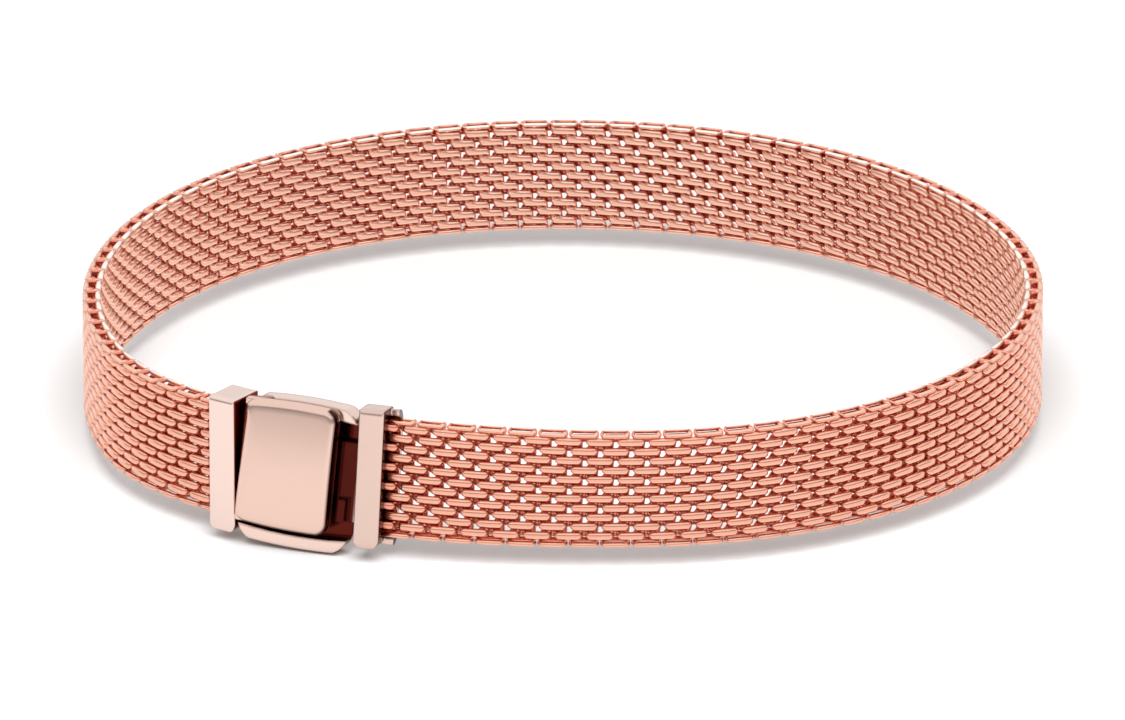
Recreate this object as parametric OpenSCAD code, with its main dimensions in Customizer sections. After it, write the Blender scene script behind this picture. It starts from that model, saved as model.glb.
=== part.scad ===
/* [Mesh band] */
// Width of the woven mesh strap, which is its height as the loop stands on its edge
mesh_w = 7.9; // [7.5:0.1:8.3]
// Thickness of the woven mesh strap
mesh_t = 1.2; // [0.9:0.05:1.6]

/* [Loop] */
// Radius of the flat front stretch beside the clasp
front_r = 51.5; // [45:0.5:58]
// Radius of the bend at the right front
right_front_r = 26.5; // [24:0.5:29]
// Radius of the right side
right_r = 33; // [30:0.5:36]
// Radius of the bend at the left front
left_front_r = 19.5; // [17:0.5:22]
// Turn of the front stretch in degrees
front_turn = 19; // [16:0.5:22]
// Turn of the bend at the right front in degrees
right_front_turn = 70; // [66:0.5:74]
// Turn of the right side in degrees
right_turn = 56.5; // [52:0.5:61]
// Turn of the back in degrees
back_turn = 113; // [109:0.5:117]
// Turn of the left side in degrees
left_turn = 44; // [41:0.5:47]

/* [End caps] */
// Height of an end cap
cap_h = 9.2; // [9:0.1:9.6]
// Thickness of the left cap through the band
left_cap_t = 2.9; // [2.6:0.1:3.2]
// Thickness of the right cap through the band
right_cap_t = 2.5; // [2.45:0.05:3]
// How far a cap's front face stands out from the mesh
cap_proud = 0.95; // [0.7:0.05:1]
// Length of the left cap along the band
left_cap_len = 2; // [1.8:0.1:3]
// Length of the right cap along the band
right_cap_len = 1.7; // [1.5:0.1:2.5]
// Depth of the slot that takes the end of the mesh
socket_depth = 1.1; // [0.8:0.1:1.2]
// Gap between the mesh and the slot
socket_gap = 0.06; // [0.03:0.01:0.1]
// Round of a cap's front edges
cap_front_round = 0.35; // [0.2:0.05:0.45]
// Round of the left cap's wrist side edges
left_back_round = 0.5; // [0.3:0.1:0.6]
// Round of the right cap's wrist side edges
right_back_round = 0.8; // [0.5:0.1:0.9]
// Length of the flange behind the mesh beside the right cap
flange_len = 0.6; // [0.4:0.1:0.8]
// How much less high the flange is than the cap
flange_less = 0.3; // [0.2:0.05:0.4]

/* [Clasp base] */
// Length of the base along the band
base_len = 7.1; // [6.8:0.1:7.6]
// Height of the base at its two ends
base_h = 9.3; // [9.1:0.1:9.6]
// How far the top and bottom edges of the clasp bulge at the middle
clasp_bulge = 0.2; // [0.1:0.05:0.3]
// Thickness of the base with its floor
base_t = 1.55; // [1.5:0.05:1.8]
// Thickness of the base's floor
base_floor = 0.5; // [0.4:0.05:0.6]
// Thickness of the base's top and bottom walls
base_wall = 0.8; // [0.6:0.05:0.9]
// Distance of the wrist side of the base from the middle of the band
base_back = 0.8; // [0.7:0.05:0.9]
// Corner round of the base's outline
base_corner = 1.5; // [1:0.1:1.7]

/* [Clasp lid] */
// Length of the lid along the band
lid_len = 6.4; // [6.2:0.1:6.6]
// How much less high the lid is than the base
lid_less = 1.25; // [1.1:0.05:1.4]
// How far the lid sits above the middle of the base
lid_raise = 0.55; // [0.4:0.05:0.55]
// Thickness of the lid at its middle
lid_t = 1.05; // [0.9:0.05:1.4]
// Corner round of the lid's outline
lid_corner = 0.9; // [0.7:0.1:1.1]
// Round of the lid's outer edges
lid_round = 0.5; // [0.3:0.05:0.6]
// Radius of the crown across the lid's height
crown_r = 50; // [40:1:90]
// Gap between the lid and the base's rim
lid_gap = 0.08; // [0.05:0.01:0.12]

/* [Hinge and catch] */
// Radius of the hinge pin
pin_r = 0.28; // [0.25:0.01:0.32]
// Radius of the lid's hinge barrel
barrel_r = 0.85; // [0.8:0.01:0.95]
// Running clearance of the pin in the lid
pin_clear = 0.03; // [0.02:0.01:0.05]
// Radial gap between the lid's barrel and what is round it
barrel_gap = 0.1; // [0.08:0.01:0.15]
// Length of each hinge ear along the pin
ear_len = 0.7; // [0.6:0.05:0.8]
// Distance of each ear's middle from the middle of the lid
ear_pos = 3.1; // [3:0.05:3.2]
// How far the lid opens in degrees
lid_opening = 75; // [30:5:75]
// Height of the tongue that the right cap pushes into the base
tongue_h = 5.2; // [4.5:0.1:6]
// Length of the tongue inside the base
tongue_len = 4.5; // [4:0.1:4.8]
// Thickness of the tongue
tongue_t = 0.6; // [0.5:0.05:0.65]

/* [Stance] */
// Direction of the clasp as seen from above in degrees
clasp_heading = -19; // [-40:1:0]
// How far the clasp is turned in its own plane against the left cap in degrees
clasp_roll = 3; // [2:0.5:4]
// How far the clasp and the right cap lean toward the wrist at their tops in degrees
clasp_lean = 9; // [7:0.5:10]
// How far the middle of the clasp sits above the middle of the band
clasp_lift = -0.3; // [-0.4:0.05:0]
// Bend between the left cap and the clasp in degrees
hinge_bend = 16; // [12:1:18]
// Bend between the clasp and the right cap in degrees
cap_bend = 3; // [0:0.5:4]
// How far the right cap is turned in its own plane in degrees
cap_roll = 0.5; // [0:0.5:2]
// How far the middle of the right cap sits above the middle of the band
cap_lift = 0.1; // [0:0.05:0.3]
// Length of mesh over which it comes back to level beside the clasp
level_len = 16; // [12:1:24]

/* [Hidden] */
rose_gold = [0.93, 0.72, 0.62];
polished = [0.95, 0.78, 0.70];
steel = [0.70, 0.62, 0.58];
round_fn = 96;
edge_fn = 720;
slack = 1;
station_turn = 4;
corner_steps = 4;

// Distances outward from the middle of the band: the wrist side is negative.
cap_front = mesh_t / 2 + cap_proud;
left_cap_back = cap_front - left_cap_t;
right_cap_back = cap_front - right_cap_t;
floor_top = base_floor - base_back;
rim = base_t - base_back;
lid_under = rim + lid_gap;
lid_top = lid_under + lid_t;

// Places along the clasp from the middle of its base, to the right.
part_gap = 0.1;
mitre = (rim + base_back) * tan(hinge_bend);
base_left = -base_len / 2;
base_right = base_len / 2;
cap_room = 0.4;
right_cap_at = base_right + cap_room;
lid_overhang = 0.5;
lid_left = base_left - lid_overhang;
lid_right = lid_left + lid_len;

// Outline of the clasp: arcs along its top and bottom edges.
half_h = base_h / 2 + clasp_bulge;
edge_r = (pow(base_len / 2, 2) + pow(clasp_bulge, 2)) / (2 * clasp_bulge);
edge_zc = edge_r - half_h;
lid_half_h = half_h - lid_less / 2;
lid_edge_r = edge_zc + lid_half_h;

// Crown of the lid, as the outward distance of its face.
function crown(z) = lid_top - crown_r + sqrt(pow(crown_r, 2) - pow(z, 2));
pin_x = lid_left + barrel_r;
pin_d = lid_top - barrel_r;
ear_r = barrel_r - 0.35;
ear_neck = 0.6;
function ear_z(side) = lid_raise + side * ear_pos;
pocket_gap = 0.1;
sweep_steps = 4;
pin_top = lid_raise + lid_half_h - clasp_bulge - 0.4;
pin_low = ear_z(-1) - ear_len / 2 - 0.25;
blind_gap = 0.1;
lid_low = lid_raise - lid_half_h;

// The left cap meets the clasp where the band's middle line bends.
hinge_room = 0.08;
knee_slip = half_h * abs(sin(clasp_roll) - sin(clasp_lean) * tan(hinge_bend));
knee_x = min(lid_left + pin_d * tan(hinge_bend), base_left - base_back * tan(hinge_bend))
    - hinge_room - knee_slip;

// Catch between the lid and the tongue.
rib_len = 0.5;
rib_h = 2.4;
rib_bite = 0.3;
rib_gap = 0.15;
rib_x = lid_right - 1.1;
tongue_gap = 0.1;
tongue_d0 = floor_top + tongue_gap;
tongue_d1 = tongue_d0 + tongue_t;
tongue_x0 = right_cap_at - tongue_len;
catch_len = 0.55;
catch_h = 1.5;
catch_rise = 0.55;
catch_x = lid_right + 0.35;
lug_t = 0.48;
lug_h = 4;
lug_len = 1.3;
lug_gap = 0.06;

// Plan of the loop: one arc after another, from the right cap round to the left cap.
left_front_turn = 360 - hinge_bend - cap_bend - front_turn - right_front_turn - right_turn
    - back_turn - left_turn;
turns = [front_turn, right_front_turn, right_turn, back_turn, left_turn, left_front_turn];
function total(v, n) = n == 0 ? 0 : v[n - 1] + total(v, n - 1);
headings = [for (i = [0:6]) clasp_heading + cap_bend + total(turns, i)];
function chord(a, b) = [sin(b) - sin(a), cos(a) - cos(b)];
function along(a) = [cos(a), sin(a)];
chords = [for (i = [0:5]) chord(headings[i], headings[i + 1])];
clasp_span = (right_cap_at - knee_x) * cos(clasp_roll);
right_span = right_cap_len * cos(cap_roll);
open_gap = clasp_span * along(clasp_heading) + right_span * along(headings[0])
    + left_cap_len * along(headings[6])
    + front_r * chords[0] + right_front_r * chords[1] + right_r * chords[2] + left_front_r * chords[5];
// The radii of the back and of the left side are those that close the loop.
closing = chords[3].x * chords[4].y - chords[3].y * chords[4].x;
back_r = (chords[4].x * open_gap.y - chords[4].y * open_gap.x) / closing;
left_r = (chords[3].y * open_gap.x - chords[3].x * open_gap.y) / closing;
radii = [front_r, right_front_r, right_r, back_r, left_r, left_front_r];
lengths = [for (i = [0:5]) radii[i] * turns[i] * PI / 180];
starts = [for (i = [0:6]) i == 0 ? [0, 0] : start_of(i)];
function start_of(i) = i == 0 ? [0, 0] : start_of(i - 1) + radii[i - 1] * chords[i - 1];

// Beside the clasp the band leaves at the clasp's slope and comes back to level.
drop = cap_lift - right_cap_len * sin(cap_roll);
slope = -tan(cap_roll);
function ease(f) = 2 * pow(f, 3) - 3 * pow(f, 2) + 1;
function lead(f) = pow(f, 3) - 2 * pow(f, 2) + f;
function ease_rate(f) = 6 * pow(f, 2) - 6 * f;
function lead_rate(f) = 3 * pow(f, 2) - 4 * f + 1;
function level_z(u) = u >= level_len ? 0
    : drop * ease(u / level_len) + slope * level_len * lead(u / level_len);
function level_slope(u) = u >= level_len ? 0
    : atan(drop / level_len * ease_rate(u / level_len) + slope * lead_rate(u / level_len));
function level_lean(u) = u >= level_len ? 0 : clasp_lean * ease(u / level_len);

// A station is its x, y, height, heading, slope and lean.
function arc_station(i, f) =
    let (h = headings[i] + f * turns[i], p = starts[i] + radii[i] * chord(headings[i], h),
        u = total(lengths, i) + f * lengths[i])
    [p.x, p.y, level_z(u), h, level_slope(u), level_lean(u)];
function straight_station(s, e, dist) =
    [s[0] + dist * cos(e) * cos(s[3]), s[1] + dist * cos(e) * sin(s[3]), s[2] + dist * sin(e),
        s[3], e, s[5]];
arc_stations = [for (i = [0:5]) for (k = [(i == 0 ? 0 : 1):ceil(turns[i] / station_turn)])
    arc_station(i, k / ceil(turns[i] / station_turn))];
first = arc_stations[0];
last = arc_stations[len(arc_stations) - 1];
stations = concat(
    [straight_station(first, -cap_roll, -socket_depth)],
    arc_stations,
    [straight_station(last, 0, socket_depth)]);

// The loop is centred over the origin and stands on its lowest point.
outline = [for (s = arc_stations) for (side = [-1, 1])
    [s[0] + side * mesh_t / 2 * sin(s[3]), s[1] - side * mesh_t / 2 * cos(s[3])]];
shift = -[max([for (p = outline) p.x]) + min([for (p = outline) p.x]),
    max([for (p = outline) p.y]) + min([for (p = outline) p.y])] / 2;
base_low = edge_r * sqrt(pow(sin(clasp_roll), 2) + pow(cos(clasp_lean) * cos(clasp_roll), 2))
    - edge_zc * cos(clasp_lean) * cos(clasp_roll) + base_back * sin(clasp_lean) - clasp_lift;
right_cap_low = cap_h / 2 - right_cap_back * sin(clasp_lean) - drop;
mid_z = max(base_low, right_cap_low, cap_h / 2);
right_at = shift - right_span * along(headings[0]);
clasp_at = right_at - right_cap_at * cos(clasp_roll) * along(clasp_heading);
knee_at = shift + starts[6] + left_cap_len * along(headings[6]);

module clasp_frame() {
    translate([clasp_at.x, clasp_at.y, mid_z + clasp_lift])
        rotate([0, 0, clasp_heading])
            rotate([0, clasp_roll, 0])
                rotate([-clasp_lean, 0, 0])
                    children();
}

module left_cap_frame() {
    translate([knee_at.x, knee_at.y, mid_z])
        rotate([0, 0, headings[6]])
            children();
}

module right_cap_frame() {
    translate([right_at.x, right_at.y, mid_z + cap_lift])
        rotate([0, 0, headings[0]])
            rotate([0, cap_roll, 0])
                rotate([-clasp_lean, 0, 0])
                    children();
}

// A front view shape, as thick as from d0 to d1 outward.
module slab(d0, d1) {
    translate([0, -d0, 0])
        rotate([90, 0, 0])
            linear_extrude(d1 - d0)
                children();
}

// A plan shape drawn along and outward, as tall as from z0 to z1.
module upright(z0, z1) {
    translate([0, 0, z0])
        linear_extrude(z1 - z0)
            mirror([0, 1])
                children();
}

// An end view shape drawn outward and up, as long as from x0 to x1.
module lengthwise(x0, x1) {
    translate([x0, 0, 0])
        rotate([90, 0, 90])
            linear_extrude(x1 - x0)
                mirror([1, 0])
                    children();
}

module block(x0, x1, d0, d1, z0, z1) {
    translate([x0, -d1, z0])
        cube([x1 - x0, d1 - d0, z1 - z0]);
}

// A rectangle whose corners have one radius at its low y and another at its high y.
module rounded(x0, x1, y0, y1, r_low, r_high) {
    translate([x0, y0 + r_low])
        square([x1 - x0, y1 - y0 - r_low - r_high]);
    translate([x0 + r_low, y0])
        square([x1 - x0 - 2 * r_low, (y1 - y0) / 2]);
    translate([x0 + r_high, (y0 + y1) / 2])
        square([x1 - x0 - 2 * r_high, (y1 - y0) / 2]);
    for (x = [x0 + r_low, x1 - r_low])
        translate([x, y0 + r_low])
            circle(r_low, $fn = round_fn);
    for (x = [x0 + r_high, x1 - r_high])
        translate([x, y1 - r_high])
            circle(r_high, $fn = round_fn);
}

// Section of the mesh: flat faces and fully round selvedges.
module mesh_section(grow) {
    t = mesh_t + 2 * grow;
    w = mesh_w + 2 * grow;
    square([t, w - t], center = true);
    for (side = [-1, 1])
        translate([0, side * (w - t) / 2])
            circle(t / 2, $fn = round_fn);
}

// Points of the same section for the band, which is a little short of round at its edges.
function section_points() = [for (side = [1, -1]) for (k = [0:2 * corner_steps])
    let (a = side * (90 - 90 * k / corner_steps))
    [mesh_t / 2 * sin(a), side * ((mesh_w - mesh_t) / 2 + mesh_t / 2 * cos(a))]];

function ring(s) = [for (q = section_points())
    let (out = q.x * cos(s[5]) - q.y * sin(s[5]), up = q.x * sin(s[5]) + q.y * cos(s[5]))
    [shift.x + s[0] + out * sin(s[3]) - up * sin(s[4]) * cos(s[3]),
    shift.y + s[1] - out * cos(s[3]) - up * sin(s[4]) * sin(s[3]),
    mid_z + s[2] + up * cos(s[4])]];

module mesh_band() {
    sides = len(section_points());
    rings = len(stations);
    points = [for (s = stations) each ring(s)];
    walls = [for (j = [0:rings - 2]) for (k = [0:sides - 1])
        let (n = (k + 1) % sides)
        [j * sides + k, j * sides + n, (j + 1) * sides + n, (j + 1) * sides + k]];
    near_end = [for (k = [sides - 1:-1:0]) k];
    far_end = [for (k = [0:sides - 1]) (rings - 1) * sides + k];
    color(rose_gold)
        polyhedron(points, concat(walls, [near_end], [far_end]), convexity = 8);
}

// Section of a cap, less high by some at its top and bottom: outward along x, up along y.
module cap_section(back, back_round, less) {
    translate([back, 0])
        rotate(90)
            rounded(less - cap_h / 2, cap_h / 2 - less, back - cap_front, 0,
                cap_front_round, back_round);
}

// An end cap in its own frame, from x0 to x1, with no slot yet.
module cap_body(x0, x1, back, back_round) {
    intersection() {
        upright(-cap_h / 2, cap_h / 2)
            rounded(x0, x1, back, cap_front, back_round / 2, cap_front_round / 2);
        lengthwise(x0, x1)
            cap_section(back, back_round, 0);
        slab(back, cap_front)
            rounded(x0, x1, -cap_h / 2, cap_h / 2, cap_front_round * 2, cap_front_round / 2);
    }
}

// The low part of the right cap that runs on behind the mesh.
module flange(x0, x1) {
    lengthwise(x0, x1)
        intersection() {
            cap_section(right_cap_back, right_back_round, flange_less / 2);
            translate([right_cap_back - slack, -cap_h])
                square([slack - right_cap_back, 2 * cap_h]);
        }
}

module left_end_cap() {
    color(polished) {
        left_cap_frame()
            difference() {
                cap_body(-left_cap_len, 0, left_cap_back, left_back_round);
                lengthwise(-left_cap_len - slack, -left_cap_len + socket_depth + socket_gap)
                    mesh_section(socket_gap);
            }
        clasp_frame()
            block(knee_x - part_gap, base_left + lug_len, -base_back, -base_back + lug_t,
                -lug_h / 2, lug_h / 2);
    }
}

// Front view outline between the two edge arcs.
module clasp_outline(x0, x1, arc_r, half, corner) {
    intersection() {
        translate([0, -edge_zc])
            circle(arc_r, $fn = edge_fn);
        translate([0, edge_zc])
            circle(arc_r, $fn = edge_fn);
        rounded(x0, x1, -half, half, corner, corner);
    }
}

module clasp_base() {
    color(polished)
        clasp_frame()
            difference() {
                union() {
                    difference() {
                        intersection() {
                            slab(-base_back, rim)
                                clasp_outline(base_left - mitre, base_right, edge_r, half_h,
                                    base_corner);
                            upright(-base_h, base_h)
                                polygon([[base_left, -base_back], [base_right, -base_back],
                                    [base_right, rim], [base_left - mitre, rim]]);
                        }
                        slab(floor_top, rim + slack)
                            intersection() {
                                translate([0, -edge_zc])
                                    circle(edge_r - base_wall, $fn = edge_fn);
                                translate([0, edge_zc])
                                    circle(edge_r - base_wall, $fn = edge_fn);
                                square([3 * base_len, 4 * base_h], center = true);
                            }
                        upright(lid_low - barrel_gap, base_h)
                            translate([pin_x, pin_d])
                                circle(barrel_r + barrel_gap, $fn = round_fn);
                        block(base_left - mitre - slack, base_left + lug_len + lug_gap,
                            -base_back - slack, floor_top + slack,
                            -lug_h / 2 - lug_gap, lug_h / 2 + lug_gap);
                    }
                    for (side = [-1, 1])
                        upright(ear_z(side) - ear_len / 2, ear_z(side) + ear_len / 2)
                            translate([pin_x, pin_d]) {
                                circle(ear_r, $fn = round_fn);
                                translate([-ear_neck / 2, floor_top - base_floor / 2 - pin_d])
                                    square([ear_neck, pin_d - floor_top + base_floor / 2]);
                            }
                }
                upright(pin_low, base_h)
                    translate([pin_x, pin_d])
                        circle(pin_r + pin_clear, $fn = round_fn);
            }
}

// Plan of the lid: the hinge barrel, the plate and the rounded right end.
module lid_plan() {
    translate([pin_x, pin_d])
        circle(barrel_r, $fn = round_fn);
    translate([pin_x, lid_under])
        square([lid_right - lid_round - pin_x, lid_t]);
    translate([pin_x, lid_under])
        square([lid_right - pin_x, lid_t - lid_round]);
    translate([lid_right - lid_round, lid_top - lid_round])
        circle(lid_round, $fn = round_fn);
}

// Section across the lid: a crowned face with a round along each edge.
module lid_section() {
    low = pin_d - barrel_r - slack;
    flat = lid_half_h - lid_round;
    translate([0, lid_raise]) {
        intersection() {
            translate([lid_top - crown_r, 0])
                circle(crown_r, $fn = edge_fn);
            translate([low, -flat])
                square([lid_top + slack - low, 2 * flat]);
        }
        translate([low, -lid_half_h])
            square([crown(flat) - lid_round - low, 2 * lid_half_h]);
        for (side = [-1, 1])
            translate([crown(flat) - lid_round, side * flat])
                circle(lid_round, $fn = round_fn);
    }
}

module clasp_lid() {
    color(polished)
        clasp_frame()
            difference() {
                union() {
                    intersection() {
                        upright(-base_h, base_h)
                            lid_plan();
                        lengthwise(-base_len, base_len)
                            lid_section();
                        slab(-base_len, base_len)
                            translate([0, lid_raise])
                                clasp_outline(lid_left, lid_right, lid_edge_r, lid_half_h, lid_corner);
                    }
                    block(rib_x, rib_x + rib_len, tongue_d1 - rib_bite, lid_under + lid_t / 2,
                        -rib_h / 2, rib_h / 2);
                }
                for (side = [-1, 1])
                    upright(ear_z(side) - ear_len / 2 - pocket_gap,
                            ear_z(side) + ear_len / 2 + pocket_gap)
                        translate([pin_x, pin_d]) {
                            circle(ear_r + pocket_gap, $fn = round_fn);
                            for (turn = [0:lid_opening / sweep_steps:lid_opening])
                                rotate(-turn)
                                    translate([-ear_neck / 2 - pocket_gap, -2 * barrel_r])
                                        square([ear_neck + 2 * pocket_gap, 2 * barrel_r]);
                        }
                upright(pin_low - blind_gap, pin_top + blind_gap)
                    translate([pin_x, pin_d])
                        circle(pin_r + pin_clear, $fn = round_fn);
            }
}

module hinge_pin() {
    color(steel)
        clasp_frame()
            upright(pin_low, pin_top)
                translate([pin_x, pin_d])
                    circle(pin_r, $fn = round_fn);
}

module right_end_cap() {
    color(polished) {
        right_cap_frame()
            difference() {
                union() {
                    cap_body(0, right_cap_len, right_cap_back, right_back_round);
                    flange(right_cap_len / 2, right_cap_len + flange_len);
                }
                lengthwise(right_cap_len - socket_depth - socket_gap, right_cap_len + flange_len + slack)
                    mesh_section(socket_gap);
            }
        clasp_frame() {
            difference() {
                block(tongue_x0, right_cap_at + cap_room, tongue_d0, tongue_d1,
                    -tongue_h / 2, tongue_h / 2);
                block(rib_x - rib_gap, rib_x + rib_len + rib_gap, tongue_d0 - slack, tongue_d1 + slack,
                    -rib_h / 2 - rib_gap, rib_h / 2 + rib_gap);
            }
            block(catch_x, catch_x + catch_len, tongue_d1 - tongue_t / 2, tongue_d1 + catch_rise,
                -tongue_h / 2, catch_h - tongue_h / 2);
        }
    }
}

mesh_band();
left_end_cap();
clasp_base();
clasp_lid();
hinge_pin();
right_end_cap();
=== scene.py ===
import math

import bpy
import numpy as np
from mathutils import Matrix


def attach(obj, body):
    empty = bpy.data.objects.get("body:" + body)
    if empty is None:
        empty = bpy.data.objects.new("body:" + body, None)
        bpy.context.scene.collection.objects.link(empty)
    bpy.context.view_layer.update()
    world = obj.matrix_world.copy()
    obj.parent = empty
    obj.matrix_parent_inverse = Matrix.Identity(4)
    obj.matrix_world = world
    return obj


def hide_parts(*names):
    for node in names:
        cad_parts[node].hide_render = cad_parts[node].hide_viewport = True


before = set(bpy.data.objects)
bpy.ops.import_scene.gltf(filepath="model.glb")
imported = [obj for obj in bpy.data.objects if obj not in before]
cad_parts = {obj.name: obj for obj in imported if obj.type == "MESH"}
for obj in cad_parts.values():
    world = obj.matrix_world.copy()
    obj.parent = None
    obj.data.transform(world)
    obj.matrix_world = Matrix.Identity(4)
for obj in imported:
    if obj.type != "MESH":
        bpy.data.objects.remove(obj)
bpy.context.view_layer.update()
MM = 0.001
scene = bpy.context.scene

# ------------------------------------------------------------ sizes, as in the part's source (mm)
MESH_T = 1.2
RADII_GIVEN = {0: 51.5, 1: 26.5, 2: 33.0, 5: 19.5}
TURNS = [19.0, 70.0, 56.5, 113.0, 44.0]
HINGE_BEND, CAP_BEND = 16.0, 3.0
CLASP_HEADING, CLASP_ROLL, CLASP_LEAN, CAP_ROLL = -19.0, 3.0, 9.0, 0.5
CLASP_LIFT, CAP_LIFT = -0.3, 0.1
LEVEL_LEN = 16.0
LEFT_CAP_LEN, RIGHT_CAP_LEN, CAP_H, CAP_PROUD, RIGHT_CAP_T = 2.0, 1.7, 9.2, 0.95, 2.5
BASE_LEN, BASE_H, BULGE, BASE_T, BASE_BACK, BASE_FLOOR = 7.1, 9.3, 0.2, 1.55, 0.8, 0.5
LID_T, LID_GAP = 1.05, 0.08
BARREL_R, HINGE_ROOM, CAP_ROOM, OVERHANG = 0.85, 0.08, 0.4, 0.5
LID_LEN, LID_LESS, LID_RAISE, LID_CORNER, LID_ROUND = 6.4, 1.25, 0.55, 0.9, 0.5
EAR_LEN, EAR_POS = 0.7, 3.1
TONGUE_GAP, TONGUE_T = 0.1, 0.6
RIB_LEN, RIB_H, RIB_BITE, RIB_IN = 0.5, 2.4, 0.3, 1.1


def sind(a):
    return math.sin(math.radians(a))


def cosd(a):
    return math.cos(math.radians(a))


def along(a):
    return np.array([cosd(a), sind(a)])


def chord(a, b):
    """From start to end of an arc of radius 1 between two headings."""
    return np.array([sind(b) - sind(a), cosd(a) - cosd(b)])


# ------------------------------------------------------------ the clasp's levels, as in the source
RIM = BASE_T - BASE_BACK
LID_UNDER = RIM + LID_GAP
LID_TOP = LID_UNDER + LID_T
BASE_LEFT, BASE_RIGHT = -BASE_LEN / 2, BASE_LEN / 2
RIGHT_CAP_AT = BASE_RIGHT + CAP_ROOM
LID_LEFT = BASE_LEFT - OVERHANG
LID_RIGHT = LID_LEFT + LID_LEN
HALF_H = BASE_H / 2 + BULGE
EDGE_R = ((BASE_LEN / 2) ** 2 + BULGE ** 2) / (2 * BULGE)
EDGE_ZC = EDGE_R - HALF_H
PIN_X, PIN_D = LID_LEFT + BARREL_R, LID_TOP - BARREL_R
BEND_TAN = math.tan(math.radians(HINGE_BEND))
KNEE_SLIP = HALF_H * abs(sind(CLASP_ROLL) - sind(CLASP_LEAN) * BEND_TAN)
KNEE_X = (min(LID_LEFT + PIN_D * BEND_TAN, BASE_LEFT - BASE_BACK * BEND_TAN)
          - HINGE_ROOM - KNEE_SLIP)

# ------------------------------------------------------------ the loop's plan, as in the source
TURNS.append(360 - HINGE_BEND - CAP_BEND - sum(TURNS))
ARCS = len(TURNS)
HEADINGS = [CLASP_HEADING + CAP_BEND + sum(TURNS[:i]) for i in range(ARCS + 1)]
RIGHT_CAP_HEADING, LEFT_CAP_HEADING = HEADINGS[0], HEADINGS[ARCS]
CHORDS = [chord(HEADINGS[i], HEADINGS[i + 1]) for i in range(ARCS)]
RIGHT_SPAN = RIGHT_CAP_LEN * cosd(CAP_ROLL)
gap = ((RIGHT_CAP_AT - KNEE_X) * cosd(CLASP_ROLL) * along(CLASP_HEADING)
       + RIGHT_SPAN * along(RIGHT_CAP_HEADING) + LEFT_CAP_LEN * along(LEFT_CAP_HEADING)
       + sum(RADII_GIVEN[i] * CHORDS[i] for i in RADII_GIVEN))
closing = CHORDS[3][0] * CHORDS[4][1] - CHORDS[3][1] * CHORDS[4][0]
RADII = [RADII_GIVEN[0], RADII_GIVEN[1], RADII_GIVEN[2],
         (CHORDS[4][0] * gap[1] - CHORDS[4][1] * gap[0]) / closing,
         (CHORDS[3][1] * gap[0] - CHORDS[3][0] * gap[1]) / closing, RADII_GIVEN[5]]
LENGTHS = [RADII[i] * math.radians(TURNS[i]) for i in range(ARCS)]
STARTS = [np.zeros(2)]
for i in range(ARCS):
    STARTS.append(STARTS[-1] + RADII[i] * CHORDS[i])
TOTAL = sum(LENGTHS)
DROP = CAP_LIFT - RIGHT_CAP_LEN * sind(CAP_ROLL)
SLOPE = -math.tan(math.radians(CAP_ROLL))
PLAN_SAMPLES = 4000


def plan(s):
    """Plan position and heading (radians) of the band's middle line, s from the right cap."""
    s = np.asarray(s, float)
    x, y, h = np.zeros_like(s), np.zeros_like(s), np.zeros_like(s)
    done = 0.0
    for i in range(ARCS):
        first, last = i == 0, i == ARCS - 1
        use = ((s >= done) | first) & ((s < done + LENGTHS[i]) | last)
        share = np.clip((s[use] - done) / LENGTHS[i], 0, 1)
        a = math.radians(HEADINGS[i])
        b = a + share * math.radians(TURNS[i])
        over = s[use] - done - share * LENGTHS[i]
        x[use] = STARTS[i][0] + RADII[i] * (np.sin(b) - math.sin(a)) + over * np.cos(b)
        y[use] = STARTS[i][1] + RADII[i] * (math.cos(a) - np.cos(b)) + over * np.sin(b)
        h[use] = b
        done += LENGTHS[i]
    return x, y, h


def level(s):
    """Height of the middle line over its level course, its slope and its lean."""
    s = np.asarray(s, float)
    f = np.clip(s / LEVEL_LEN, 0, 1)
    rest = 2 * f ** 3 - 3 * f ** 2 + 1
    z = DROP * rest + SLOPE * LEVEL_LEN * (f ** 3 - 2 * f ** 2 + f)
    slope = DROP / LEVEL_LEN * (6 * f ** 2 - 6 * f) + SLOPE * (3 * f ** 2 - 4 * f + 1)
    z = z + np.where(s < 0, s * SLOPE, 0)
    return z, np.arctan(slope), math.radians(CLASP_LEAN) * rest


mid_x, mid_y, mid_h = plan(np.linspace(0, TOTAL, PLAN_SAMPLES))
walls = np.concatenate([np.stack([mid_x + k * MESH_T / 2 * np.sin(mid_h),
                                  mid_y - k * MESH_T / 2 * np.cos(mid_h)], 1) for k in (-1, 1)])
SHIFT = -(walls.max(0) + walls.min(0)) / 2
UPRIGHT = cosd(CLASP_LEAN) * cosd(CLASP_ROLL)
BASE_LOW = (EDGE_R * math.hypot(sind(CLASP_ROLL), UPRIGHT) - EDGE_ZC * UPRIGHT
            + BASE_BACK * sind(CLASP_LEAN) - CLASP_LIFT)
RIGHT_CAP_LOW = CAP_H / 2 - (MESH_T / 2 + CAP_PROUD - RIGHT_CAP_T) * sind(CLASP_LEAN) - DROP
MID_Z = max(BASE_LOW, RIGHT_CAP_LOW, CAP_H / 2)
RIGHT_AT = SHIFT - RIGHT_SPAN * along(RIGHT_CAP_HEADING)
CLASP_AT = np.append(RIGHT_AT - RIGHT_CAP_AT * cosd(CLASP_ROLL) * along(CLASP_HEADING),
                     MID_Z + CLASP_LIFT)


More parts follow.
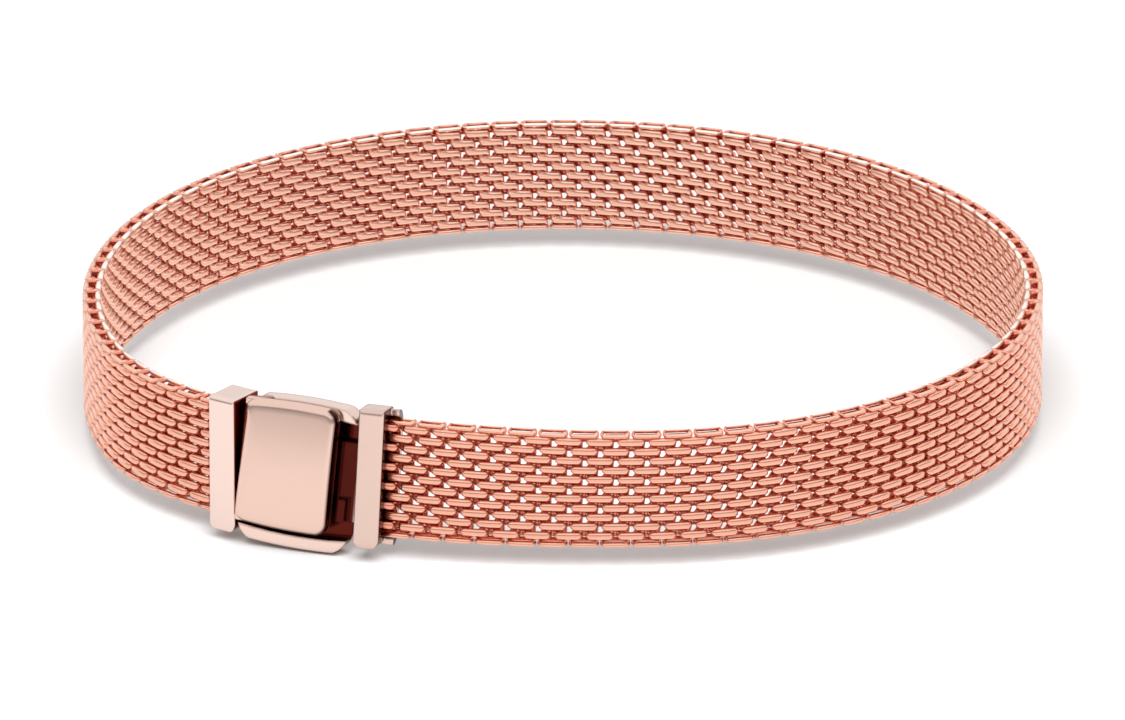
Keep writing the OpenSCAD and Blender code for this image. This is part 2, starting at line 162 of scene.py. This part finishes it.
def turned(heading, roll, lean):
    """Axes of a frame as columns: along, toward the wrist, up."""
    h, r, t = math.radians(heading), math.radians(roll), math.radians(-lean)
    about_z = np.array([[math.cos(h), -math.sin(h), 0], [math.sin(h), math.cos(h), 0], [0, 0, 1]])
    about_y = np.array([[math.cos(r), 0, math.sin(r)], [0, 1, 0], [-math.sin(r), 0, math.cos(r)]])
    about_x = np.array([[1, 0, 0], [0, math.cos(t), -math.sin(t)], [0, math.sin(t), math.cos(t)]])
    return about_z @ about_y @ about_x


CLASP_AXES = turned(CLASP_HEADING, CLASP_ROLL, CLASP_LEAN)


def on_clasp(x, d, z):
    """World points (mm) of the clasp's frame: along, outward, up."""
    x, d, z = np.broadcast_arrays(*[np.asarray(v, float) for v in (x, d, z)])
    return np.stack([x, -d, z], -1) @ CLASP_AXES.T + CLASP_AT


def on_band(s, d, z):
    """World points (mm) at length s, outward distance d and height z in the band's own frame."""
    x, y, h = plan(s)
    lift, e, lean = level(s)
    d, z = d * np.cos(lean) - z * np.sin(lean), d * np.sin(lean) + z * np.cos(lean)
    return np.stack([SHIFT[0] + x + d * np.sin(h) - z * np.sin(e) * np.cos(h),
                     SHIFT[1] + y - d * np.cos(h) - z * np.sin(e) * np.sin(h),
                     MID_Z + lift + z * np.cos(e)], -1)


# ------------------------------------------------------------ meshes
def ring_faces(rings, n):
    """Quads between rings of n points each."""
    j, k = np.meshgrid(np.arange(rings - 1), np.arange(n), indexing="ij")
    a, b = j * n + k, j * n + (k + 1) % n
    return np.stack([a, b, b + n, a + n], -1).reshape(-1, 4)


def mesh_object(name, verts_mm, faces, light_values, mat):
    """A smooth mesh with an attribute of painted light: 0 painted shade in recesses, 1 the plain
    metal, 2 a pale painted highlight.
    """
    me = bpy.data.meshes.new(name)
    me.from_pydata([tuple(v) for v in np.asarray(verts_mm) * MM], [], faces)
    me.update()
    ob = bpy.data.objects.new(name, me)
    scene.collection.objects.link(ob)
    me.materials.append(mat)
    me.polygons.foreach_set("use_smooth", [True] * len(me.polygons))
    values = np.asarray(light_values, np.float32)
    me.attributes.new("painted_light", "FLOAT", "POINT").data.foreach_set("value", values)
    return ob


# ------------------------------------------------------------ materials
NOISE_DETAIL, BUMP_DETAIL, BEVEL_SAMPLES = 4, 3, 6
BUMP_DEPTH = 0.02 * MM
# Painted shade in the weave of the mesh, and a pale painted highlight on the mesh.
MESH_PAINTED_SHADE, MESH_PAINTED_HIGHLIGHT = (0.78, 0.25, 0.165), (1.0, 0.90, 0.82)
# Painted shade in the base's hollow and on the tongue in the window.
BASE_PAINTED_SHADE, TONGUE_PAINTED_SHADE = (0.09, 0.012, 0.008), (0.07, 0.01, 0.007)
# Painted shade on the left cap's side toward the lid, and a painted dark reflection on the lid's
# right and lower sides.
SIDE_PAINTED_SHADE, LID_PAINTED_DARK = (0.20, 0.03, 0.02), (0.05, 0.008, 0.005)
CAP_SOFT, BASE_SOFT = 0.18 * MM, 0.22 * MM
# The painted shade in the base's hollow ends between these places in the clasp's frame (mm):
# outward, toward the wrist, and above and below. The painted shade on the tongue ends between
# these distances from the right cap.
HOLLOW_FRONT, HOLLOW_BACK, HOLLOW_END = (0.55, 0.70), (-0.40, -0.55), (4.10, 4.30)
TONGUE_FADE = (0.35, 0.05)
# Cosines of a side's angle to a heading: painted dark from the first up, plain from the second
# down.
FACING_IN, FACING_OUT = 0.95, 0.80


def new_material(name):
    mat = bpy.data.materials.new(name)
    mat.use_nodes = True
    nt = mat.node_tree
    return mat, nt, nt.nodes["Principled BSDF"]


def node(nt, kind, inputs=(), **fields):
    """A new node: fields are its properties, inputs its (name, value or output) pairs."""
    made = nt.nodes.new(kind)
    for key, value in fields.items():
        setattr(made, key, value)
    for key, value in inputs:
        if isinstance(value, bpy.types.NodeSocket):
            nt.links.new(value, made.inputs[key])
        else:
            made.inputs[key].default_value = value
    return made


def smooth(nt, value, low, high, to_low=0.0, to_high=1.0):
    """A soft step from to_low to to_high as the value goes from low to high."""
    return node(nt, "ShaderNodeMapRange",
                [("Value", value), ("From Min", low), ("From Max", high),
                 ("To Min", to_low), ("To Max", to_high)],
                interpolation_type="SMOOTHSTEP").outputs["Result"]


def combine(nt, kind, a, b):
    return node(nt, "ShaderNodeMath", [(0, a), (1, b)], operation=kind).outputs[0]


def mix(nt, factor, a, b):
    """A colour between a and b, each one an output or a plain colour."""
    ends = [c if isinstance(c, bpy.types.NodeSocket) else (*c, 1) for c in (a, b)]
    return node(nt, "ShaderNodeMix", [("Factor", factor), ("A", ends[0]), ("B", ends[1])],
                data_type="RGBA").outputs["Result"]


def dot(nt, vector, way):
    return node(nt, "ShaderNodeVectorMath", [(0, vector), (1, tuple(way))],
                operation="DOT_PRODUCT").outputs["Value"]


def gold(name, colour, rough, rough_var, noise_scale, bump, bump_scale, tint=0.03, shade=None,
         soft=0.0, highlight_colour=None):
    """Rose gold plate: a metal with fine unevenness in gloss, colour and surface. Shade takes the
    node tree and gives a factor of painted light, as in the mesh attribute, and the colour of the
    painted shade. The last argument, if given, is a pale painted highlight, mixed in where the
    factor goes above 1."""
    mat, nt, bsdf = new_material(name)
    coord = node(nt, "ShaderNodeTexCoord").outputs["Object"]
    fine = node(nt, "ShaderNodeTexNoise", [("Vector", coord), ("Scale", noise_scale),
                                           ("Detail", NOISE_DETAIL)]).outputs["Fac"]
    gloss = node(nt, "ShaderNodeMapRange", [("Value", fine), ("To Min", rough - rough_var),
                                            ("To Max", rough + rough_var)])
    out = mix(nt, fine, [c * (1 - tint) for c in colour], [min(1, c * (1 + tint)) for c in colour])
    if shade:
        # Painted shade: the factor mixes from the dark colour up to the plain one.
        factor, dark = shade(nt)
        out = mix(nt, factor, dark, out)
        # Above 1 the factor mixes on toward the pale painted highlight.
        if highlight_colour:
            out = mix(nt, combine(nt, "SUBTRACT", factor, 1.0), out, highlight_colour)
    coarse = node(nt, "ShaderNodeTexNoise", [("Vector", coord), ("Scale", bump_scale),
                                             ("Detail", BUMP_DETAIL)])
    relief = node(nt, "ShaderNodeBump", [("Strength", bump), ("Distance", BUMP_DEPTH),
                                         ("Height", coarse.outputs["Fac"])])
    if soft:
        edge = node(nt, "ShaderNodeBevel", [("Radius", soft)], samples=BEVEL_SAMPLES)
        nt.links.new(edge.outputs["Normal"], relief.inputs["Normal"])
    bsdf.inputs["Metallic"].default_value = 1.0
    nt.links.new(out, bsdf.inputs["Base Color"])
    nt.links.new(gloss.outputs["Result"], bsdf.inputs["Roughness"])
    nt.links.new(relief.outputs["Normal"], bsdf.inputs["Normal"])
    return mat


def polished(name, colour, shade, soft=0.0, rough=0.16):
    return gold(name, colour, rough, rough_var=0.03, noise_scale=500, bump=0.06, bump_scale=350,
                tint=0.015, shade=shade, soft=soft)


def by_attribute(dark):
    # The factor of painted light and shade comes from the mesh attribute.
    def shade(nt):
        return node(nt, "ShaderNodeAttribute", attribute_name="painted_light").outputs["Fac"], dark
    return shade


def clasp_coordinate(nt, axis):
    """Distance in metres along one axis of the clasp's frame, from the middle of its base."""
    way = CLASP_AXES[:, axis] * (-1 if axis == 1 else 1)
    place = dot(nt, node(nt, "ShaderNodeTexCoord").outputs["Object"], way)
    return combine(nt, "SUBTRACT", place, float(CLASP_AT @ way) * MM)


def paint_base_hollow(nt):
    """Painted shade in the hollow of the base: dark between its rims and under their front."""
    outward, up = clasp_coordinate(nt, 1), clasp_coordinate(nt, 2)
    out = smooth(nt, outward, *[v * MM for v in HOLLOW_FRONT])
    behind = smooth(nt, outward, *[v * MM for v in HOLLOW_BACK])
    high = node(nt, "ShaderNodeMath", [(0, up)], operation="ABSOLUTE").outputs[0]
    beyond = smooth(nt, high, *[v * MM for v in HOLLOW_END])
    return combine(nt, "MAXIMUM", combine(nt, "MAXIMUM", out, behind), beyond), BASE_PAINTED_SHADE


def facing(nt, heading):
    """0 on a side that faces along a heading, 1 elsewhere."""
    normal = node(nt, "ShaderNodeNewGeometry").outputs["Normal"]
    return smooth(nt, dot(nt, normal, (cosd(heading), sind(heading), 0.0)), FACING_IN, FACING_OUT)


def paint_tongue_and_side(nt):
    """Painted shade: the tongue in the window and the side toward the mesh are painted dark."""
    past = smooth(nt, clasp_coordinate(nt, 0), *[(RIGHT_CAP_AT - v) * MM for v in TONGUE_FADE])
    return combine(nt, "MULTIPLY", past, facing(nt, RIGHT_CAP_HEADING)), TONGUE_PAINTED_SHADE


def paint_side_to_clasp(nt):
    """Painted shade: the left cap's side toward the lid is painted dark."""
    return facing(nt, LEFT_CAP_HEADING), SIDE_PAINTED_SHADE


# The wire's painted shade and pale painted highlight come from its mesh attribute.
wire_mat = gold("wire_rose_gold", (0.91, 0.53, 0.395), rough=0.24, rough_var=0.05, noise_scale=900,
                bump=0.25, bump_scale=2500, shade=by_attribute(MESH_PAINTED_SHADE), highlight_colour=MESH_PAINTED_HIGHLIGHT)
# One rose gold plate in four tones: each tone is painted lighter or darker to stand in for what
# that piece reflects, the left cap lightest and the right cap darkest.
left_mat = polished("left_cap_rose_gold", (0.79, 0.61, 0.545), paint_side_to_clasp, CAP_SOFT)
right_mat = polished("right_cap_rose_gold", (0.665, 0.485, 0.42), paint_tongue_and_side, CAP_SOFT)
base_mat = polished("base_rose_gold", (0.78, 0.58, 0.505), paint_base_hollow, BASE_SOFT)
lid_mat = polished("lid_rose_gold", (0.74, 0.52, 0.44), by_attribute(LID_PAINTED_DARK), rough=0.22)
pin_mat = gold("pin_metal", (0.80, 0.68, 0.62), rough=0.28, rough_var=0.06, noise_scale=900,
               bump=0.2, bump_scale=2000)

# ------------------------------------------------------------ woven coils (mm)
# Half heights of the wire in the rows, the top and low selvedge; half widths in rows and loops.
WIRE_UP, TOP_UP, LOW_UP, WIRE_OUT, LOOP_OUT = 0.275, 0.115, 0.17, 0.20, 0.12
DEEP = MESH_T / 2 - WIRE_OUT
# Rows of strands from the top selvedge down to the low one.
ROWS, ROW_PITCH, ROW_MID = 13, 0.641, 0.11
TOP_FRONT, TOP_BACK, LOW_FRONT, LOW_BACK = 3.70, 3.76, -3.68, -3.60
# Where the strands end and how far the turns reach past that.
LEFT_END, RIGHT_END, EDGE_END = 0.60, 0.62, 0.72
LEFT_OUT, RIGHT_OUT, EDGE_OUT = 0.23, 0.14, 0.14
# The turns: steps in each, the share of a right turn that stays level, and the share of a left
# turn that climbs. A left turn's tip is thinner, more from below.
BEND, TURN_LEVEL, TURN_CLIMB = 7, 0.35, 0.5
TIP_UP, TIP_RISE = 0.15, 0.3
# A stub is a turn with this share left out, and its free end is this much higher or lower.
STUB_LESS, STUB_RISE = 0.35, 0.35
# The coils' spacing, the first one's place along the band, and how much longer than the band
# their row is, so that the caps hide its ends.
COIL_SPACE, FIRST_COIL, ROW_MORE = 1.0, -0.18, 0.6
# Joined meshes, points round the wire, and the margin in comparisons of places.
PARTS, SIDES, HAIR = 4, 10, 0.01
# Painted light on the wire: painted shade at its upper and lower edge, a painted dark reflection
# line along its middle, painted lightening on the wrist's side, and the painted highlight.
EDGE_PAINTED_SHADE, MIDDLE_PAINTED_LINE, INNER_PAINTED_LIGHT, PAINTED_HIGHLIGHT = 0.2, 0.45, 1.35, 2.0
# Painted shade: shares of the depth over which a turn is painted darker, and the length over which
# the mesh is painted darker next to the caps.
TURN_DARK, TURN_FADE, CAP_PAINTED_SHADE = 0.05, 0.3, 0.8
RING = np.linspace(0, 2 * math.pi, SIDES, endpoint=False)
RING_OUT, RING_UP = np.cos(RING), np.sin(RING)


def row_z(i):
    if 0 < i < ROWS - 1:
        return ROW_MID + ROW_PITCH * ((ROWS - 1) / 2 - i)
    return TOP_FRONT if i == 0 else LOW_FRONT


def eased(a, b, f):
    """From a to b with a soft start and end, as f goes from 0 to 1."""
    f = min(1, max(0, f))
    return a + (b - a) * f * f * (3 - 2 * f)


def strand(z, front, half=WIRE_UP, left=LEFT_END, right=RIGHT_END):
    """A straight stretch: in front it runs to the right, behind it runs to the left. Each point is
    along, outward, up and the half height of the wire."""
    ends = [-left, 0.0, right] if front else [right, 0.0, -left]
    return [(x, DEEP if front else -DEEP, z, half) for x in ends]


def right_turn(z0, z1, t1=1.0, half0=WIRE_UP, half1=WIRE_UP, end=RIGHT_END, out=RIGHT_OUT):
    """From the front round to the back: the wire stays level until it is out of sight."""
    pts = []
    for t in np.linspace(0, t1, BEND + 1)[1:(None if t1 < 1 else -1)]:
        pts.append((end + out * math.sin(math.pi * t), DEEP * math.cos(math.pi * t),
                    eased(z0, z1, (t - TURN_LEVEL) / (1 - TURN_LEVEL)),
                    half0 + (half1 - half0) * t))
    return pts


def left_turn(z0, z1, t0=0.0, half0=WIRE_UP, half1=WIRE_UP, end=LEFT_END, out=LEFT_OUT,
              tip=TIP_UP):
    """From the back round to the front, climbing early, with a thinner tip."""
    pts = []
    for t in np.linspace(t0, 1, BEND + 1)[(0 if t0 > 0 else 1):-1]:
        thin = tip * math.sin(math.pi * t)
        pts.append((-end - out * math.sin(math.pi * t), -DEEP * math.cos(math.pi * t),
                    eased(z0, z1, t / TURN_CLIMB) + TIP_RISE * thin,
                    half0 + (half1 - half0) * t - thin))
    return pts


def edge_strand(z, front):
    return strand(z, front, TOP_UP if z > 0 else LOW_UP, EDGE_END, EDGE_END)


def flat_turn(turn, z0, z1):
    half = TOP_UP if z0 > 0 else LOW_UP
    size = {"half0": half, "half1": half, "end": EDGE_END, "out": EDGE_OUT}
    if turn is left_turn:
        size["tip"] = 0.0
    return turn(z0, z1, **size)


def looped_line():
    """Middle line of a coil that shows its front strands in the even rows and closes in a flat
    loop at each selvedge, in its own frame, going down."""
    last = ROWS - 1
    pts = flat_turn(right_turn, TOP_FRONT, TOP_BACK) + edge_strand(TOP_BACK, False)
    pts += flat_turn(left_turn, TOP_BACK, TOP_FRONT) + edge_strand(TOP_FRONT, True)
    pts += right_turn(TOP_FRONT, row_z(1), half0=TOP_UP)
    for i in range(1, last, 2):
        end = WIRE_UP if i < last - 1 else LOW_UP
        pts += strand(row_z(i), False) + left_turn(row_z(i), row_z(i + 1), half1=end)
        if i < last - 1:
            pts += strand(row_z(i + 1), True) + right_turn(row_z(i + 1), row_z(i + 2))
    pts += edge_strand(LOW_FRONT, True) + flat_turn(right_turn, LOW_FRONT, LOW_BACK)
    pts += edge_strand(LOW_BACK, False) + flat_turn(left_turn, LOW_BACK, LOW_FRONT)
    return np.array(pts)


def stubbed_line():
    """Middle line of a coil that shows its front strands in the odd rows and ends in short stubs
    behind the selvedges."""
    lowest = ROWS - 2
    pts = left_turn(row_z(1) + STUB_RISE, row_z(1), STUB_LESS)
    for i in range(1, lowest, 2):
        pts += strand(row_z(i), True) + right_turn(row_z(i), row_z(i + 1))
        pts += strand(row_z(i + 1), False) + left_turn(row_z(i + 1), row_z(i + 2))
    pts += strand(row_z(lowest), True)
    pts += right_turn(row_z(lowest), row_z(lowest) - STUB_RISE, 1 - STUB_LESS)
    return np.array(pts)


def tube(points, half_out, half_up):
    """Rings round each point of a line, from its tangent and the upright."""
    tangent = np.gradient(points, axis=0)
    tangent /= np.linalg.norm(tangent, axis=1, keepdims=True)
    side = np.cross(tangent, [0.0, 0.0, 1.0])
    side /= np.linalg.norm(side, axis=1, keepdims=True)
    over = np.cross(side, tangent)
    return (points[:, None, :]
            + half_out[:, None, None] * RING_OUT[None, :, None] * side[:, None, :]
            + half_up[:, None, None] * RING_UP[None, :, None] * over[:, None, :])


def line_width(line):
    """Half the wire's thickness seen from above: less round the loops of the selvedges."""
    loop = (line[:, 3] <= max(TOP_UP, LOW_UP)) & (np.abs(line[:, 0]) > EDGE_END + HAIR)
    return np.where(loop, LOOP_OUT, WIRE_OUT)


def paint_coil_light(line):
    """Painted light and shade on a coil's points: 1 on the outer faces of the strands and a little
    lighter, painted, on the wrist's side, a painted dark reflection line along their middles, the
    most painted shade at their upper and lower edges, 0, full painted shade, within the weave, and
    a pale painted highlight on the tops of the upper selvedge's strands on the wrist's side."""
    front = line[:, 1:2] > 0
    # Steep is 0 at the wire's middle, 0.59 at the next points round it and 0.95 at its edges.
    steep = np.abs(RING_UP)
    across = np.where(steep > 0.9, EDGE_PAINTED_SHADE, np.where(steep < 0.1, MIDDLE_PAINTED_LINE, 1.0))
    reach = np.clip((np.abs(line[:, 1]) / DEEP - TURN_DARK) / TURN_FADE, 0, 1)
    faced = line[:, 1:2] * RING_OUT[None, :] * np.where(front, 1, -1)
    outer = np.clip(0.5 + 2 * faced / DEEP, 0, 1)
    values = reach[:, None] * across[None, :] * outer * np.where(front, 1.0, INNER_PAINTED_LIGHT)
    # The tops of the upper selvedge's strands: plain in front, a pale painted highlight on the
    # wrist's side.
    straight = (line[:, 2] > TOP_FRONT - 2 * HAIR) & (np.abs(line[:, 0]) < EDGE_END + HAIR)
    top = straight[:, None] & ((RING_UP > 0.3) & (RING_OUT > -0.5))[None, :]
    return np.where(top, np.where(front, 1.0, PAINTED_HIGHLIGHT), values)


def coil_piece(name, numbers):
    verts, loops, ends, light_values, count = [], [], [], [], 0
    for n in numbers:
        line = LINES[n % 2]
        place = FIRST_COIL + n * COIL_STEP + line[:, 0]
        pts = on_band(place, line[:, 1], line[:, 2])
        verts.append(tube(pts, line_width(line), line[:, 3]).reshape(-1, 3))
        # The mesh is painted darker next to the caps, as shade.
        near_cap = np.clip(np.minimum(place, TOTAL - place) / CAP_PAINTED_SHADE, 0, 1)
        light_values.append((paint_coil_light(line) * near_cap[:, None]).reshape(-1))
        loops.append(ring_faces(len(line), SIDES)[:, ::-1] + count)
        last = count + (len(line) - 1) * SIDES
        ends += [list(range(count, count + SIDES)), list(range(last + SIDES - 1, last - 1, -1))]
        count += len(line) * SIDES
    faces = np.concatenate(loops).tolist() + ends
    return mesh_object(name, np.concatenate(verts), faces, np.concatenate(light_values), wire_mat)


LINES = [stubbed_line(), looped_line()]
COILS = int(round((TOTAL + ROW_MORE) / COIL_SPACE))
COIL_STEP = (TOTAL + ROW_MORE) / COILS
for i, group in enumerate(np.array_split(np.arange(COILS + 1), PARTS)):
    ob = coil_piece("mesh_coils_%d" % (i + 1), group)
    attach(ob, "bracelet")
    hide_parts("mesh_band")

# ------------------------------------------------------------ the lid, a pillow on its barrel (mm)
LID_HALF = HALF_H - LID_LESS / 2
LID_ARC_R = EDGE_ZC + LID_HALF
# The left edge is drawn in by no more than LID_LEAD, and no corner is tighter than CORNER_MIN.
LID_LEAD, CORNER_MIN, CROWN_R = 0.45, 0.25, 50.0
CROWN_RINGS = (0.92, 0.8, 0.6, 0.4, 0.2, 0.0)
OUTLINE_N, ROUND_N = 40, 9
# Near its right and its lower edge the lid's side is painted: light up to DARK_FROM over its
# underside, and from DARK_FADE further painted dark, standing for the dark it reflects, for
# DARK_STEPS of its rounding, then light again in FADE_STEPS more.
# One ring of points lies SIDE_RING under the rounding.
DARK_FROM, DARK_FADE, SIDE_RING, DARK_STEPS, FADE_STEPS = 0.22, 0.05, 0.18, 3, 2
DARK_RIGHT, DARK_LOW = 0.6, 0.5
# The barrel: points round it, its end chamfer, and how much shorter than the lid it is. It runs
# up into the lid by BARREL_TUCK, with EAR_ROOM beside the base's ears.
BARREL_N, BARREL_CHAMFER, BARREL_LESS, BARREL_TUCK, EAR_ROOM = 48, 0.12, 0.16, 0.4, 0.1
RIB_TUCK = 0.1
BOX_FACES = ((0, 1, 3, 2), (4, 6, 7, 5), (0, 4, 5, 1), (2, 3, 7, 6), (0, 2, 6, 4), (1, 5, 7, 3))


def lid_loop(inset):
    """Points of the lid's outline, drawn in by an inset: right side up, top, left side down and
    bottom, with a round corner after each."""
    left, right = LID_LEFT + min(inset, LID_LEAD), LID_RIGHT - inset
    corner = max(LID_CORNER - inset, CORNER_MIN)

    def edge_z(x):
        return np.sqrt((LID_ARC_R - inset) ** 2 - x ** 2) - EDGE_ZC

    x0, x1 = left + corner, right - corner
    z0, z1 = edge_z(x0) - corner, edge_z(x1) - corner
    side = np.linspace(-1, 1, OUTLINE_N)
    turn = [(corner * math.cos(a), corner * math.sin(a))
            for a in np.linspace(0, math.pi / 2, ROUND_N)]
    loop = [(right, z) for z in z1 * side]
    loop += [(x1 + c, z1 + s) for c, s in turn[1:]]
    loop += [(x, edge_z(x)) for x in np.linspace(x1, x0, OUTLINE_N)[1:]]
    loop += [(x0 - s, z0 + c) for c, s in turn[1:]]
    loop += [(left, z) for z in (-z0 * side)[1:]]
    loop += [(x0 - c, -z0 - s) for c, s in turn[1:]]
    loop += [(x, -edge_z(x)) for x in np.linspace(x0, x1, OUTLINE_N)[1:]]
    loop += [(x1 + s, -z1 - c) for c, s in turn[1:-1]]
    return np.array(loop)


def crown(z):
    """Height of the lid's face, which is arched from its upper to its lower edge."""
    return LID_TOP - CROWN_R + np.sqrt(CROWN_R ** 2 - z ** 2)


def within_swing(x, d):
    """Draws in what lies further from the pin than the barrel, on the side of the left cap."""
    r = np.hypot(x - PIN_X, d - PIN_D)
    scale = np.where((x < PIN_X) & (r > BARREL_R), BARREL_R / np.maximum(r, BARREL_R), 1.0)
    return PIN_X + (x - PIN_X) * scale, PIN_D + (d - PIN_D) * scale


def lid_shell():
    """The pillow: its side, its rounded edge and its face. Gives points, painted light and faces.
    """
    levels = [(0.0, LID_UNDER, 1.0), (0.0, LID_UNDER + DARK_FROM, 1.0),
              (0.0, LID_UNDER + DARK_FROM + DARK_FADE, 0.0),
              (0.0, LID_TOP - LID_ROUND - SIDE_RING, 0.0)]
    for i, a in enumerate(np.linspace(0, math.pi / 2, ROUND_N)):
        levels.append((LID_ROUND * (1 - math.cos(a)), LID_TOP - LID_ROUND + LID_ROUND * math.sin(a),
                       min(1, max(0, (i - DARK_STEPS) / FADE_STEPS))))
    verts, light_values = [], []
    for inset, d, light in levels:
        loop = lid_loop(inset)
        fall = (LID_TOP - crown(loop[:, 1])) * min(1, max(0, (d - LID_UNDER) / LID_T))
        verts.append(on_clasp(*within_swing(loop[:, 0], d - fall), loop[:, 1] + LID_RAISE))
        # The lid's right and lower sides are painted dark, standing for the dark they reflect.
        painted_dark_side = (loop[:, 0] > LID_RIGHT - DARK_RIGHT) | (loop[:, 1] < DARK_LOW - LID_HALF)
        light_values.append(np.where(painted_dark_side, light, 1.0))
    edge = lid_loop(LID_ROUND)
    n, middle = len(edge), edge.mean(0)
    for scale in CROWN_RINGS:
        loop = middle + (edge - middle) * scale
        verts.append(on_clasp(*within_swing(loop[:, 0], crown(loop[:, 1])),
                              loop[:, 1] + LID_RAISE))
        light_values.append(np.ones(n))
    faces = ring_faces(len(verts), n).tolist() + [list(range(n - 1, -1, -1))]
    return np.concatenate(verts), np.concatenate(light_values), faces


def barrel_stretch(z0, z1):
    """One length of the barrel, with a chamfer at each end."""
    verts = []
    for less, z in ((BARREL_CHAMFER, z0), (0.0, z0 + BARREL_CHAMFER),
                    (0.0, z1 - BARREL_CHAMFER), (BARREL_CHAMFER, z1)):
        ring = np.linspace(0, 2 * math.pi, BARREL_N, endpoint=False)
        d = np.minimum(PIN_D + (BARREL_R - less) * np.sin(ring), LID_UNDER + BARREL_TUCK)
        verts.append(on_clasp(PIN_X + (BARREL_R - less) * np.cos(ring), d, np.full(BARREL_N, z)))
    total = BARREL_N * len(verts)
    faces = ring_faces(len(verts), BARREL_N)[:, ::-1].tolist()
    faces += [list(range(BARREL_N)), list(range(total - 1, total - BARREL_N - 1, -1))]
    return np.concatenate(verts), np.ones(total), faces


def lid_rib():
    """The rib under the lid that holds the tongue, painted dark all over as shade."""
    x = LID_RIGHT - RIB_IN
    low = BASE_FLOOR - BASE_BACK + TONGUE_GAP + TONGUE_T - RIB_BITE
    corners = [(x, d, z) for x in (x, x + RIB_LEN) for d in (low, LID_UNDER + RIB_TUCK)
               for z in (-RIB_H / 2, RIB_H / 2)]
    return on_clasp(*np.array(corners).T), np.zeros(len(corners)), BOX_FACES


def lid_piece():
    cuts = [LID_RAISE - LID_HALF + BARREL_LESS]
    for at in (LID_RAISE - EAR_POS, LID_RAISE + EAR_POS):
        cuts += [at - EAR_LEN / 2 - EAR_ROOM, at + EAR_LEN / 2 + EAR_ROOM]
    cuts.append(LID_RAISE + LID_HALF - BARREL_LESS)
    parts = [lid_shell(), *[barrel_stretch(*z) for z in zip(cuts[0::2], cuts[1::2])], lid_rib()]
    faces, count = [], 0
    for verts, _, part_faces in parts:
        faces += [[count + i for i in face] for face in part_faces]
        count += len(verts)
    return mesh_object("lid_pillow", np.concatenate([part[0] for part in parts]), faces,
                       np.concatenate([part[1] for part in parts]), lid_mat)


pillow = lid_piece()
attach(pillow, "lid")
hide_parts("clasp_lid")

# ------------------------------------------------------------ carried CAD pieces
for name, mat in (("left_end_cap", left_mat), ("right_end_cap", right_mat),
                  ("clasp_base", base_mat), ("hinge_pin", pin_mat)):
    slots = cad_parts[name].data.materials
    slots.clear()
    slots.append(mat)

# ------------------------------------------------------------ floor (m)
FLOOR_HALF, FLOOR_GREY, FLOOR_ROUGH = 3.0, 0.56, 0.9

floor_me = bpy.data.meshes.new("floor")
floor_me.from_pydata([(x * FLOOR_HALF, y * FLOOR_HALF, 0)
                      for x, y in ((-1, -1), (1, -1), (1, 1), (-1, 1))], [], [(0, 1, 2, 3)])
floor = bpy.data.objects.new("floor", floor_me)
scene.collection.objects.link(floor)
floor_mat, _, floor_shader = new_material("floor_paper")
floor_shader.inputs["Base Color"].default_value = (FLOOR_GREY, FLOOR_GREY, FLOOR_GREY, 1)
floor_shader.inputs["Roughness"].default_value = FLOOR_ROUGH
floor_me.materials.append(floor_mat)

# ------------------------------------------------------------ light
# A light tent: a bright roof, white walls, and a dark card across the front just above the lens.
# The card's lower, upper and side limits and the roof's edge are ranges of a unit direction.
CARD_LOW, CARD_HIGH, CARD_SIDE, CARD_LIGHT = (0.08, 0.14), (0.42, 0.52), (0.1, 0.4), 0.40
ROOF_EDGE, ROOF_LIGHT = (0.45, 0.6), 1.15

world = bpy.data.worlds.new("studio")
scene.world = world
scene.view_settings.view_transform = "Standard"
world.use_nodes = True
sky = world.node_tree
around = node(sky, "ShaderNodeTexCoord").outputs["Generated"]
direction = node(sky, "ShaderNodeSeparateXYZ", [("Vector", around)])
height, back = direction.outputs["Z"], direction.outputs["Y"]
card = combine(sky, "MULTIPLY", smooth(sky, height, *CARD_LOW),
               smooth(sky, height, *CARD_HIGH, 1.0, 0.0))
card = combine(sky, "MULTIPLY", card, smooth(sky, back, *CARD_SIDE, 1.0, 0.0))
dimmed = smooth(sky, card, 0.0, 1.0, 1.0, CARD_LIGHT)
roof = smooth(sky, height, *ROOF_EDGE, 1.0, ROOF_LIGHT)
background = sky.nodes["Background"]
background.inputs["Color"].default_value = (1, 1, 1, 1)
sky.links.new(combine(sky, "MULTIPLY", dimmed, roof), background.inputs["Strength"])

# A softbox towards the lens, which throws the short soft shadow behind each wall (m, W, radians).
LAMP_SIZE, LAMP_POWER, LAMP_AT, LAMP_TILT = 0.55, 9.5, (0, -0.45, 0.60), 0.6435

lamp_data = bpy.data.lights.new("softbox", "AREA")
lamp_data.size = LAMP_SIZE
lamp_data.energy = LAMP_POWER
lamp = bpy.data.objects.new("softbox", lamp_data)
lamp.location = LAMP_AT
lamp.rotation_euler = (LAMP_TILT, 0, 0)
lamp.visible_glossy = False
scene.collection.objects.link(lamp)

# ------------------------------------------------------------ camera (mm, radians)
# It was found by fitting the loop's outline and the coils to the photograph's proportions.
CAM_DOWN, CAM_FAR, CAM_SIDE, CAM_UP = 0.3522, 960.0, 0.0528, -1.807
PX_PER_RAD, FRAME_W, SENSOR_W = 14549.9, 1125.0, 36.0
TARGET = np.array([-0.096, -1.032, MID_Z])

forward = np.array([0, math.cos(CAM_DOWN), -math.sin(CAM_DOWN)])
upward = np.array([0, math.sin(CAM_DOWN), math.cos(CAM_DOWN)])
sideways = np.array([1.0, 0, 0])
cam_data = bpy.data.cameras.new("camera")
cam = bpy.data.objects.new("camera", cam_data)
cam_data.sensor_width = SENSOR_W
cam_data.lens = SENSOR_W * PX_PER_RAD / FRAME_W
cam.location = (TARGET - CAM_FAR * forward + CAM_SIDE * sideways + CAM_UP * upward) * MM
cam.rotation_euler = (math.pi / 2 - CAM_DOWN, 0, 0)
scene.collection.objects.link(cam)
scene.camera = cam

bpy.context.view_layer.update()
